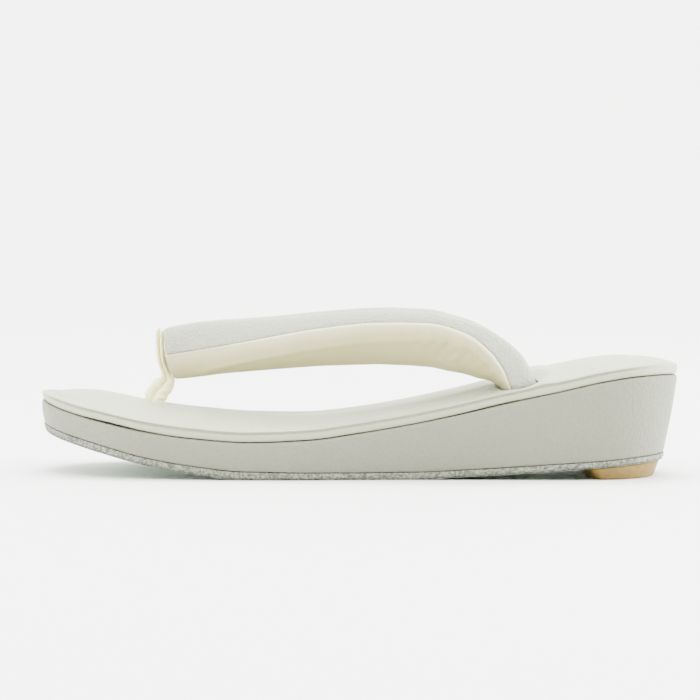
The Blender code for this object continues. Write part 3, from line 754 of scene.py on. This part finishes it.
def loop_rings(stations, count, first_row=0, grow=0.0, further=0.0, wrinkle=0.0):
    """Sections of the pair of rolls from a row of the table on, grown and drawn out further for a cutter."""
    rows = []
    for share, rise, wide, thick, spread, twist in LOOP_SHARES:
        x = (share - 0.5) * LENGTH
        rows.append((x, crown(x) + rise * STRAP_RISE, wide * LOOP_HALF_WIDE, thick * LOOP_HALF_THICK,
                     spread * LOOP_HALF_THICK, twist))
    data = np.array(rows)
    chord = np.concatenate(([0.0], np.cumsum(np.linalg.norm(np.diff(data[:, :2], axis=0), axis=1))))
    table = Table(LOOP_COLUMNS, rows, chord)
    side = np.array((0.0, 1.0, 0.0))
    places = np.linspace(chord[first_row], chord[-1], stations)
    if not first_row:
        front = np.array(LOOP_FRONT_SHARES) * LOOP_FRONT
        places = np.concatenate((front, np.linspace(LOOP_FRONT, chord[-1], stations - len(front))))
    rings = []
    for s in places:
        ahead, behind = min(s + LOOP_LOOK, chord[-1]), max(s - LOOP_LOOK, 0.0)
        tangent = np.array((table.at("x", ahead) - table.at("x", behind), 0.0,
                            table.at("z", ahead) - table.at("z", behind)))
        tangent /= np.linalg.norm(tangent)
        through = np.cross(side, tangent)
        twist = math.radians(float(table.at("twist", s)))
        u = through * math.cos(twist) + side * math.sin(twist)
        v = side * math.cos(twist) - through * math.sin(twist)
        centre = np.array((table.at("x", s), 0.0, table.at("z", s)))
        if s == places[-1]:
            centre = centre + tangent * further
        full = 1.0
        if not first_row:
            full = math.sqrt(max(0.0, 1.0 - (1.0 - min(1.0, (s + LOOP_BLUNT) / LOOP_ROUNDING)) ** 2))
        thick = float(table.at("half_thick", s)) * full + grow
        wide = float(table.at("half_wide", s)) - LOOP_ROUNDING * (1.0 - full) + grow
        spread = min(float(table.at("spread", s)) * full, thick * LOOP_OVERLAP)
        meet = math.acos(-spread / thick)
        height = wrinkle * (1.0 + LOW_WRINKLE * smooth_step(*LOW_STARTS, s))
        ring = []
        for lobe in (1.0, -1.0):
            for i in range(count // 2):
                angle = -meet + 2.0 * meet * i / (count // 2)
                crumple = 1.0 + height * (0.5 * math.sin(1.7 * s + 2.2 * lobe + 3.0 * math.cos(angle))
                                          + 0.35 * math.sin(3.9 * s + angle * 2.0))
                apart = spread + thick * math.cos(angle) * crumple
                ring.append(centre + u * lobe * apart + v * lobe * wide * crumple * math.sin(angle))
        rings.append(np.array(ring))
    return rings


def make_toe_loop():
    rings = loop_rings(LOOP_STATIONS, LOOP_POINTS, wrinkle=LOOP_WRINKLE)
    return loft("toe_loop_cloth", rings, cap=True)


# Cutters: room round a strap, which the cover leaves open more than in the solids, stations and points
ENTRY_GAP = 1.3
CUTTER_STATIONS, STRAP_CUTTER_POINTS, LOOP_CUTTER_POINTS = 12, 48, 32


def socket_cutters():
    """Solids a little wider than the ends of the straps and one gap wider than the end of the toe loop."""
    frames = strap_frames(CUTTER_STATIONS, STRAP_SOCKET_ROW)
    last = dict(frames[-1])
    last["centre"] = last["centre"] + last["tangent"] * 2.0 * GAP
    angles = np.linspace(0.0, 2.0 * math.pi, STRAP_CUTTER_POINTS, endpoint=False)
    rings = [section(shape, angles, -ENTRY_GAP) for shape in frames + [last]]
    near = loft("near_socket", rings, cap=True)
    far = loft("far_socket", [ring * np.array((1.0, -1.0, 1.0)) for ring in rings], cap=True)
    rings = loop_rings(CUTTER_STATIONS, LOOP_CUTTER_POINTS, LOOP_SOCKET_ROW, GAP, 2.0 * GAP)
    return near, far, loft("loop_socket", rings, cap=True)


def cut_sockets(piece):
    """Holes for the ends of the straps and the toe loop."""
    cutters = socket_cutters()
    pick(piece)
    for cutter in cutters:
        change = piece.modifiers.new("socket", "BOOLEAN")
        change.operation = "DIFFERENCE"
        change.solver = "EXACT"
        change.object = cutter
        bpy.ops.object.modifier_apply(modifier=change.name)
    for cutter in cutters:
        bpy.data.objects.remove(cutter, do_unlink=True)


# Where the straps and the loop enter the cover: centre, half size along and across, and the mound behind
ENTRIES = ((59.8, -23.3, 6.0, 8.2, 0.75), (59.8, 23.3, 6.0, 8.2, 0.75), (-77.0, 0.0, 4.6, 3.0, 0.0))
# In half sizes of the hole: how far its rim is drawn down and fades, and the mound's start, place and width
RIM, RIM_FADE, OUTER_LESS = 0.9, 0.32, 0.8
MOUND_STARTS, MOUND, MOUND_WIDTH = (-0.2, 1.0), 1.75, 0.40


def drawn_down(points, depth):
    """How far the cover goes down round the straps, with a low mound behind each."""
    lower = np.zeros(len(points))
    for x, y, half_x, half_y, mound in ENTRIES:
        away = np.hypot((points[:, 0] - x) / half_x, (points[:, 1] - y) / half_y)
        outside = smooth_step(0.0, RIM, (np.abs(points[:, 1]) - abs(y)) / half_y)
        lower += depth * (1.0 - OUTER_LESS * outside) * hump(np.maximum(away - RIM, 0.0), 0.0, RIM_FADE)
        behind = smooth_step(*MOUND_STARTS, (points[:, 0] - x) / half_x)
        lower -= mound * depth * hump(away, MOUND, MOUND_WIDTH) * behind
    return lower


# Where the seam under the cover stands open: place and length along the sandal, and by how much
SEAM_OPENINGS = ((-89.0, 12.0, 0.52), (50.0, 16.0, 0.28), (-20.0, 40.0, 0.10), (98.0, 12.0, 0.12))
OPENING_RINGS = 6.0
# The cover's edge: how far it turns under, its lip, and the soft crease above the lip, which needs some
# height and fades toward the heel: depth, rings as shares of depth and height, where it ends, and painted
# shade ring by ring, on the lip strip and in the crease
COVER_UNDER, COVER_LIP = 1.2, 2.0
COVER_STEP, STEP_NEEDS, STEP_FULL, STEP_FADES = 1.10, 0.9, 1.6, (96.0, 113.0)
STEP_RINGS = ((0.40, 0.07), (0.90, 0.20), (1.0, 0.34), (0.75, 0.48))
STEP_END, EDGE_FROM, EDGE_RISE = 0.50, 0.54, 0.46
CREASE_SHADES = (0.40, 0.38, 0.38, 0.45, 0.70, 0.95, 1.0, 0.85, 0.55, 0.30, 0.12)
TONE_ALWAYS, TONE_STEP = 0.25, 0.75
# Rings over which the dip round the straps sets in, and waves of the leather: height and width in
# millimetres
DIP_RINGS = 10.0
COVER_WAVE, COVER_WAVE_SIZE = 0.16, 26.0
EDGE_WAVE, EDGE_WAVE_SIZE = 0.09, 11.0


def make_top_cover(settings):
    """The cover stands up from the seam, turns over a rounded edge and rises to its dome."""
    sole = Outline(settings.points)
    rings = sole.fan(COVER_UNDER, (1.0, 0.75, 0.5, 0.25, 0.0), "seam", GAP)
    hidden_rings = len(rings)
    for turn in (22.0, 45.0, 68.0, 90.0):
        angle = math.radians(turn)
        rings.append(sole.ring(COVER_UNDER * (1.0 - math.sin(angle)), "seam",
                               GAP + COVER_LIP * (1.0 - math.cos(angle))))
    lip_rings = len(rings)
    depth = along("edge_depth", sole.points[:, 0])
    rise = along("edge", sole.points[:, 0]) - COVER_LIP
    full = np.clip((rise - STEP_NEEDS) / STEP_FULL, 0.0, 1.0)
    full *= 1.0 - smooth_step(*STEP_FADES, sole.points[:, 0])
    # A soft crease runs round the cover above its lip, where the padding ends
    for inward, up in STEP_RINGS:
        ring = sole.ring(COVER_STEP * inward * full, "seam", GAP + COVER_LIP)
        ring[:, 2] += rise * up
        rings.append(ring)
    for turn in np.linspace(0.0, 90.0, 11)[1:]:
        angle = math.radians(turn)
        start = COVER_STEP * STEP_END * full
        ring = sole.ring(start + (depth - start) * (1.0 - math.cos(angle)), "seam", GAP + COVER_LIP)
        ring[:, 2] += rise * (EDGE_FROM + EDGE_RISE * math.sin(angle))
        rings.append(ring)
    edge_rings = len(rings)
    for share in np.linspace(0.0, 1.0, 34)[1:]:
        ring = sole.ring(depth + (sole.reach - depth) * share, "seam", GAP)
        ring[:, 2] += along("edge", ring[:, 0]) + along("skin", ring[:, 0]) * (1.0 - (1.0 - share) ** 2)
        rings.append(ring)
    for i, ring in enumerate(rings):
        past_lip = max(0, i + 1 - lip_rings)
        above_lip = min(1.0, past_lip / DIP_RINGS)
        ring[:, 2] -= above_lip * drawn_down(ring, settings.dimple)
        ring[:, 2] += COVER_WAVE * above_lip * wobble(ring, COVER_WAVE_SIZE, 3)
        # The leather isn't drawn quite evenly over the edge, and the seam opens a little in some places
        if hidden_rings <= i < edge_rings:
            ring[:, 2] += EDGE_WAVE * wobble(ring, EDGE_WAVE_SIZE, 4)
        for place, length, opening in SEAM_OPENINGS:
            low = 1.0 - min(1.0, past_lip / OPENING_RINGS)
            ring[:, 2] += low * opening * hump(ring[:, 0], place, length)
    # Painted shade: the crease and the strip under it are darkened, where shade falls below the padded top
    crease = np.zeros((len(rings), len(full)))
    crease[hidden_rings:hidden_rings + len(CREASE_SHADES)] = (np.array(CREASE_SHADES)[:, None]
                                                             * (TONE_ALWAYS + TONE_STEP * full))
    return loft("top_cover_leather", rings, values={"crease": crease})


# The wedge: rounding at its foot and shoulder, how far its side swells, and the waves of its leather
FOOT_ROUND, FOOT_MIDDLE, SHOULDER = 0.5, 0.15, 1.0
SIDE_SWELL, SIDE_WAVE, SIDE_WAVE_SIZE = 0.30, 0.13, 16.0


def make_wedge_body(settings):
    sole = Outline(settings.points)
    foot = sole.ring(sole.draw_in, "outsole_top", GAP + FOOT_ROUND)
    rings = sole.fan(sole.draw_in + FOOT_ROUND, (1.0, 0.66, 0.33, 0.0), "outsole_top", GAP)
    rings.append(sole.ring(sole.draw_in + FOOT_MIDDLE, "outsole_top", GAP + FOOT_MIDDLE))
    rings.append(foot)
    top = sole.ring(0.0, "seam", -SHOULDER)
    for share in np.linspace(0.0, 1.0, 16)[1:]:
        ring = foot + (top - foot) * share
        swell = SIDE_SWELL * math.sin(math.pi * share)
        ring[:, :2] += sole.outward * (swell + SIDE_WAVE * wobble(ring, SIDE_WAVE_SIZE, 5))[:, None]
        rings.append(ring)
    for turn in (30.0, 60.0, 90.0):
        angle = math.radians(turn)
        rings.append(sole.ring(SHOULDER * (1.0 - math.cos(angle)), "seam",
                               -SHOULDER * (1.0 - math.sin(angle))))
    rings += sole.fan(SHOULDER, (0.33, 0.66, 1.0), "seam", 0.0)
    return loft("wedge_body_leather", rings)


# The outsole's cut edge: where the flat sides end, its rounding below as a size and a share of the height,
# the sizes of its fibres, how much weaker the coarse ones are, and how far back the whole edge stands
UNDER_IN, TOP_IN, UNDER_LIFT, TOP_DROP = 0.5, 0.4, 0.35, 0.15
UNDER_ROUND, UNDER_ROUND_SHARE = 0.9, 0.4
FINE_FIBRE, COARSE_FIBRE, COARSE_SHARE, FIBRE_BACK = 1.1, 2.7, 0.7, 0.12


def make_outsole(settings):
    sole = Outline(settings.points * 2)
    edge = sole.draw_in
    rings = sole.fan(edge + UNDER_IN, (1.0, 0.66, 0.33, 0.0), "under", 0.0)
    under = [np.ones(len(ring)) for ring in rings[:-1]]
    low = sole.ring(edge, "under", UNDER_LIFT)
    high = sole.ring(edge, "outsole_top", -TOP_DROP)
    for share in np.linspace(0.0, 1.0, 8):
        ring = low + (high - low) * share
        ring[:, :2] -= sole.outward * (UNDER_ROUND * (1.0 - min(1.0, share / UNDER_ROUND_SHARE)) ** 2)
        fibre = settings.fibre * (wobble(ring, FINE_FIBRE, 6) + COARSE_SHARE * wobble(ring, COARSE_FIBRE, 7))
        ring[:, :2] += sole.outward * (fibre - FIBRE_BACK)[:, None]
        rings.append(ring)
    rings += sole.fan(edge + TOP_IN, (0.0, 0.5, 1.0), "outsole_top", 0.0)
    under += [np.zeros(len(ring)) for ring in rings[len(under):]]
    return loft("outsole_suede", rings, values={"under": under})


# The heel rubber: points round it, its rounding below, how far its top edge is broken, and ring heights
RUBBER_POINTS, RUBBER_ROUND, RUBBER_TOP = 160, 0.8, 0.3
RUBBER_HEIGHTS = (0.25, 0.5, 0.75, 0.93)


def rubber_ring(sole, margin, count=RUBBER_POINTS):
    inset = (sole.draw_in + RUBBER_MARGIN + margin) / sole.reach
    edge = sole.points + (sole.spine - sole.points) * inset[:, None]
    edge = edge[:sole.count // 2 + 1]
    back = edge[-1, 0]
    front = 0.5 * LENGTH - HEEL_DRAW_IN - RUBBER_MARGIN - RUBBER_LENGTH + margin
    turn = 2.0 * math.pi * np.arange(count) / count
    x = 0.5 * (front + back) - 0.5 * (back - front) * np.cos(turn)
    corner = np.clip((front + RUBBER_CORNER - x) / RUBBER_CORNER, 0.0, 1.0)
    outer = np.interp(x, edge[:, 0], -edge[:, 1]) * (1.0 - corner ** 3) ** (1.0 / 3.0)
    side = -np.sign(np.round(np.sin(turn), 6))
    return np.column_stack((x, side * outer))


def make_heel_rubber(settings):
    sole = Outline(settings.points)
    flat = np.array((1.0, 0.0))
    base = rubber_ring(sole, RUBBER_TAPER + RUBBER_ROUND)
    rings = [np.column_stack((base * (1.0, width), np.zeros(len(base)))) for width in (0.0, 0.5)]
    for turn in (0.0, 30.0, 60.0, 90.0):
        angle = math.radians(turn)
        ring = rubber_ring(sole, RUBBER_TAPER + RUBBER_ROUND * (1.0 - math.sin(angle)))
        rings.append(np.column_stack((ring, np.full(len(ring), RUBBER_ROUND * (1.0 - math.cos(angle))))))
    low = rings[-1]
    top = rubber_ring(sole, 0.0)
    top = np.column_stack((top, along("under", top[:, 0]) - GAP))
    rings += [low + (top - low) * share for share in RUBBER_HEIGHTS]
    inner = rubber_ring(sole, RUBBER_TOP)
    rings.append(np.column_stack((inner, along("under", inner[:, 0]) - GAP)))
    rings.append(np.column_stack((inner * flat, along("under", inner[:, 0]) - GAP)))
    return loft("heel_rubber_block", rings)


class ZORI_OT_outsole(Operator):
    """Add the fibrous outsole"""

    bl_idname = "zori.outsole"
    bl_label = "Outsole"

    def execute(self, context):
        settings = context.scene.zori_sole
        paint = Paint("outsole_suede")
        fibres = paint.grain(0.7, 4.0, place=paint.stretch(0.8, 1.0, 1.0))
        flecks = paint.grain(1.5, 3.0)
        spots = paint.grain(1.0, 2.0, place=paint.stretch(1.0, 1.0, 0.8))
        tone = paint.mix(fibres.between(0.36, 0.62), shade(settings.outsole_colour, 0.50),
                         shade(settings.outsole_colour, 1.12))
        tone = paint.mix(flecks.between(0.54, 0.66) * 0.5, tone, shade(settings.outsole_colour, 1.35))
        tone = paint.mix(spots.between(0.50, 0.61) * 0.80, tone, shade(settings.outsole_colour, 0.28))
        tone = paint.mix(paint.attribute("under"), tone, settings.underside_colour)
        material = paint.apply(tone, 0.9, 0.5 * fibres + 0.3 * flecks, Specular_IOR_Level=0.2,
                               Sheen_Weight=0.15, Sheen_Roughness=0.6)
        finish_piece(make_outsole(settings), material, 50.0, "outsole", "outsole")
        return {"FINISHED"}


class ZORI_OT_heel_rubber(Operator):
    """Add the beige heel rubber"""

    bl_idname = "zori.heel_rubber"
    bl_label = "Heel Rubber"

    def execute(self, context):
        settings = context.scene.zori_sole
        paint = Paint("heel_rubber")
        speck = paint.grain(0.6, 2.0)
        cloud = paint.grain(7.0, 3.0)
        streaks = paint.grain(1.6, 3.0, place=paint.stretch(1.0, 1.0, 0.7))
        tone = paint.mix(cloud.between(0.3, 0.7), shade(settings.rubber_colour, 0.85), settings.rubber_colour)
        tone = paint.mix(streaks.between(0.40, 0.62) * 0.45, shade(settings.rubber_colour, 0.70), tone)
        material = paint.apply(tone, 0.55 + 0.2 * speck, 0.05 * speck + 0.08 * cloud, Specular_IOR_Level=0.4)
        finish_piece(make_heel_rubber(settings), material, 40.0, "heel_rubber", "heel_rubber")
        return {"FINISHED"}


class ZORI_OT_wedge_body(Operator):
    """Add the wedge with its pebbled leather side"""

    bl_idname = "zori.wedge_body"
    bl_label = "Wedge Body"

    def execute(self, context):
        settings = context.scene.zori_sole
        material = leather("wedge_leather", settings.side_colour_with_shade, settings.grain, 0.38, 0.48)
        piece = make_wedge_body(settings)
        cut_sockets(piece)
        finish_piece(piece, material, 40.0, "wedge_body", "wedge_body")
        return {"FINISHED"}


class ZORI_OT_top_cover(Operator):
    """Add the domed cover that the foot stands on"""

    bl_idname = "zori.top_cover"
    bl_label = "Top Cover"

    def execute(self, context):
        settings = context.scene.zori_sole
        material = leather("cover_leather", settings.cover_colour, 1.0, 0.22, 0.44, crease_shade=0.42)
        piece = make_top_cover(settings)
        cut_sockets(piece)
        finish_piece(piece, material, 40.0, "top_cover", "top_cover")
        return {"FINISHED"}


class ZORI_OT_straps(Operator):
    """Add both strap branches: grey leather above and cream lining below"""

    bl_idname = "zori.straps"
    bl_label = "Straps"

    def execute(self, context):
        settings = context.scene.zori_strap
        grey = leather("strap_leather", settings.leather_colour, 1.05, 0.78, 0.46)
        cream = cloth("strap_lining", settings.lining_colour, settings.under_shade_colour, settings.seam_highlight_colour)
        cover = make_strap_cover(settings)
        finish_piece(cover, grey, 50.0, "strap_cover", "strap_cover")
        lining = make_strap_lining(settings)
        finish_piece(lining, cream, 50.0, "strap_lining", "strap_lining")
        return {"FINISHED"}


class ZORI_OT_toe_loop(Operator):
    """Add the toe loop and its twisted pair of strands"""

    bl_idname = "zori.toe_loop"
    bl_label = "Toe Loop"

    def execute(self, context):
        settings = context.scene.zori_strap
        cream = cloth("toe_loop", *(settings.loop_colour,) * 3)
        piece = make_toe_loop()
        finish_piece(piece, cream, 60.0, "toe_loop", "toe_loop")
        return {"FINISHED"}


# The floor in metres: half width, front and back edges, the curve up into the wall, and the wall's height
FLOOR_HALF, FLOOR_FRONT, FLOOR_BACK = 4.0, -4.0, 1.7
CURVE_RADIUS, CURVE_STEPS, WALL_HEIGHT = 0.9, 12, 3.2
# The camera as fitted to the photograph, in its pixels: how far it looks down and aside, and its distance
LOOK_DOWN, LOOK_ASIDE, LOOK_FAR, CAMERA_ROLL = 103.0, 10.3, 2355.0, -0.4
SENSOR_WIDTH, CLIP_START = 36.0, 0.02
# Lights: place, aim, size, and power as a share of the key light's
LIGHTS = (
    ("overhead", (-0.1, -0.45, 1.25), (0.0, 0.0, 0.0), 1.4, 1.0),
    ("toe_side", (-1.15, -0.4, 0.55), (0.0, 0.0, 0.03), 0.8, 0.45),
    ("heel_side", (1.2, 0.1, 0.5), (0.0, 0.0, 0.03), 0.8, 1.2),
    ("backdrop_wash", (0.0, 0.9, 2.4), (0.0, 2.5, 0.5), 1.6, 4.5),
)


def add_backdrop(settings):
    """A floor that curves up into a wall behind the sandal."""
    deselect()
    bpy.ops.mesh.primitive_plane_add(size=1.0, location=(0.0, 0.0, 0.0))
    floor = bpy.context.active_object
    floor.name = "studio_floor"
    for vertex in floor.data.vertices:
        far = FLOOR_FRONT if vertex.co.y < 0.0 else FLOOR_BACK
        vertex.co = (math.copysign(FLOOR_HALF, vertex.co.x), far, 0.0)
    for edge in floor.data.edges:
        edge.select = all(floor.data.vertices[i].co.y > 0.0 for i in edge.vertices)
    for vertex in floor.data.vertices:
        vertex.select = vertex.co.y > 0.0
    bpy.ops.object.mode_set(mode="EDIT")
    bpy.ops.mesh.select_mode(type="EDGE")
    turn = [0.5 * math.pi * i / CURVE_STEPS for i in range(CURVE_STEPS + 1)]
    curve = [(CURVE_RADIUS * math.sin(angle), CURVE_RADIUS * (1.0 - math.cos(angle))) for angle in turn]
    curve.append((CURVE_RADIUS, WALL_HEIGHT))
    for (y0, z0), (y1, z1) in zip(curve, curve[1:]):
        bpy.ops.mesh.extrude_region_move(TRANSFORM_OT_translate={"value": (0.0, y1 - y0, z1 - z0)})
    bpy.ops.mesh.select_all(action="SELECT")
    bpy.ops.mesh.normals_make_consistent(inside=False)
    bpy.ops.object.mode_set(mode="OBJECT")
    bpy.ops.object.shade_smooth()
    paint = Paint("studio_floor")
    paint.feed(paint.shader.inputs["Base Color"], settings.floor_colour)
    paint.shader.inputs["Roughness"].default_value = 0.95
    paint.shader.inputs["Specular IOR Level"].default_value = 0.05
    floor.data.materials.append(paint.material)


def add_light(name, place, aim, size, power):
    deselect()
    direction = Vector(aim) - Vector(place)
    turn = direction.to_track_quat("-Z", "Y").to_euler()
    bpy.ops.object.light_add(type="AREA", location=place, rotation=turn)
    light = bpy.context.active_object
    light.name = name
    light.data.shape = "DISK"
    light.data.size = size
    light.data.energy = power


class ZORI_OT_stage(Operator):
    """Add the camera, the floor with its curved back, and the lights"""

    bl_idname = "zori.stage"
    bl_label = "Stage"

    def execute(self, context):
        settings = context.scene.zori_stage
        add_backdrop(settings)
        deselect()
        tilt = math.atan(LOOK_DOWN / LOOK_FAR)
        turn = math.atan(LOOK_ASIDE / LOOK_FAR)
        bpy.ops.object.camera_add(location=(0.0, -settings.camera_distance, settings.camera_height),
                                  rotation=(0.5 * math.pi - tilt, math.radians(CAMERA_ROLL), turn))
        camera = context.active_object
        camera.name = "camera"
        camera.data.lens = settings.lens
        camera.data.sensor_width = SENSOR_WIDTH
        camera.data.clip_start = CLIP_START
        context.scene.camera = camera
        for name, place, aim, size, share in LIGHTS:
            add_light(name, place, aim, size, settings.key * share)
        world = bpy.data.worlds.new("studio")
        world.use_nodes = True
        world.node_tree.nodes["Background"].inputs["Color"].default_value = (1.0, 1.0, 1.0, 1.0)
        world.node_tree.nodes["Background"].inputs["Strength"].default_value = settings.ambient
        context.scene.world = world
        return {"FINISHED"}


class VIEW3D_PT_zori(Panel):
    """The zori's sizes and the steps that make it"""

    bl_label = "Zori Sandal"
    bl_space_type = "VIEW_3D"
    bl_region_type = "UI"
    bl_category = "Zori"

    def draw(self, context):
        for name in ("zori_sole", "zori_strap", "zori_stage"):
            settings = getattr(context.scene, name)
            box = self.layout.box()
            for key in settings.__annotations__:
                box.prop(settings, key)
        for step in STEPS:
            self.layout.operator(step.bl_idname)


SETTINGS = (
    ("zori_sole", ZoriSoleSettings),
    ("zori_strap", ZoriStrapSettings),
    ("zori_stage", ZoriStageSettings),
)
STEPS = (ZORI_OT_outsole, ZORI_OT_heel_rubber, ZORI_OT_wedge_body, ZORI_OT_top_cover, ZORI_OT_straps,
         ZORI_OT_toe_loop, ZORI_OT_stage)


def register():
    for name, group in SETTINGS:
        bpy.utils.register_class(group)
        setattr(bpy.types.Scene, name, PointerProperty(type=group))
    for step in STEPS:
        bpy.utils.register_class(step)
    bpy.utils.register_class(VIEW3D_PT_zori)


def unregister():
    bpy.utils.unregister_class(VIEW3D_PT_zori)
    for step in reversed(STEPS):
        bpy.utils.unregister_class(step)
    for name, group in reversed(SETTINGS):
        delattr(bpy.types.Scene, name)
        bpy.utils.unregister_class(group)


def main():
    register()
    bpy.ops.zori.outsole()
    bpy.ops.zori.heel_rubber()
    bpy.ops.zori.wedge_body()
    bpy.ops.zori.top_cover()
    bpy.ops.zori.straps()
    bpy.ops.zori.toe_loop()
    bpy.ops.zori.stage()


if __name__ == "__main__":
    main()
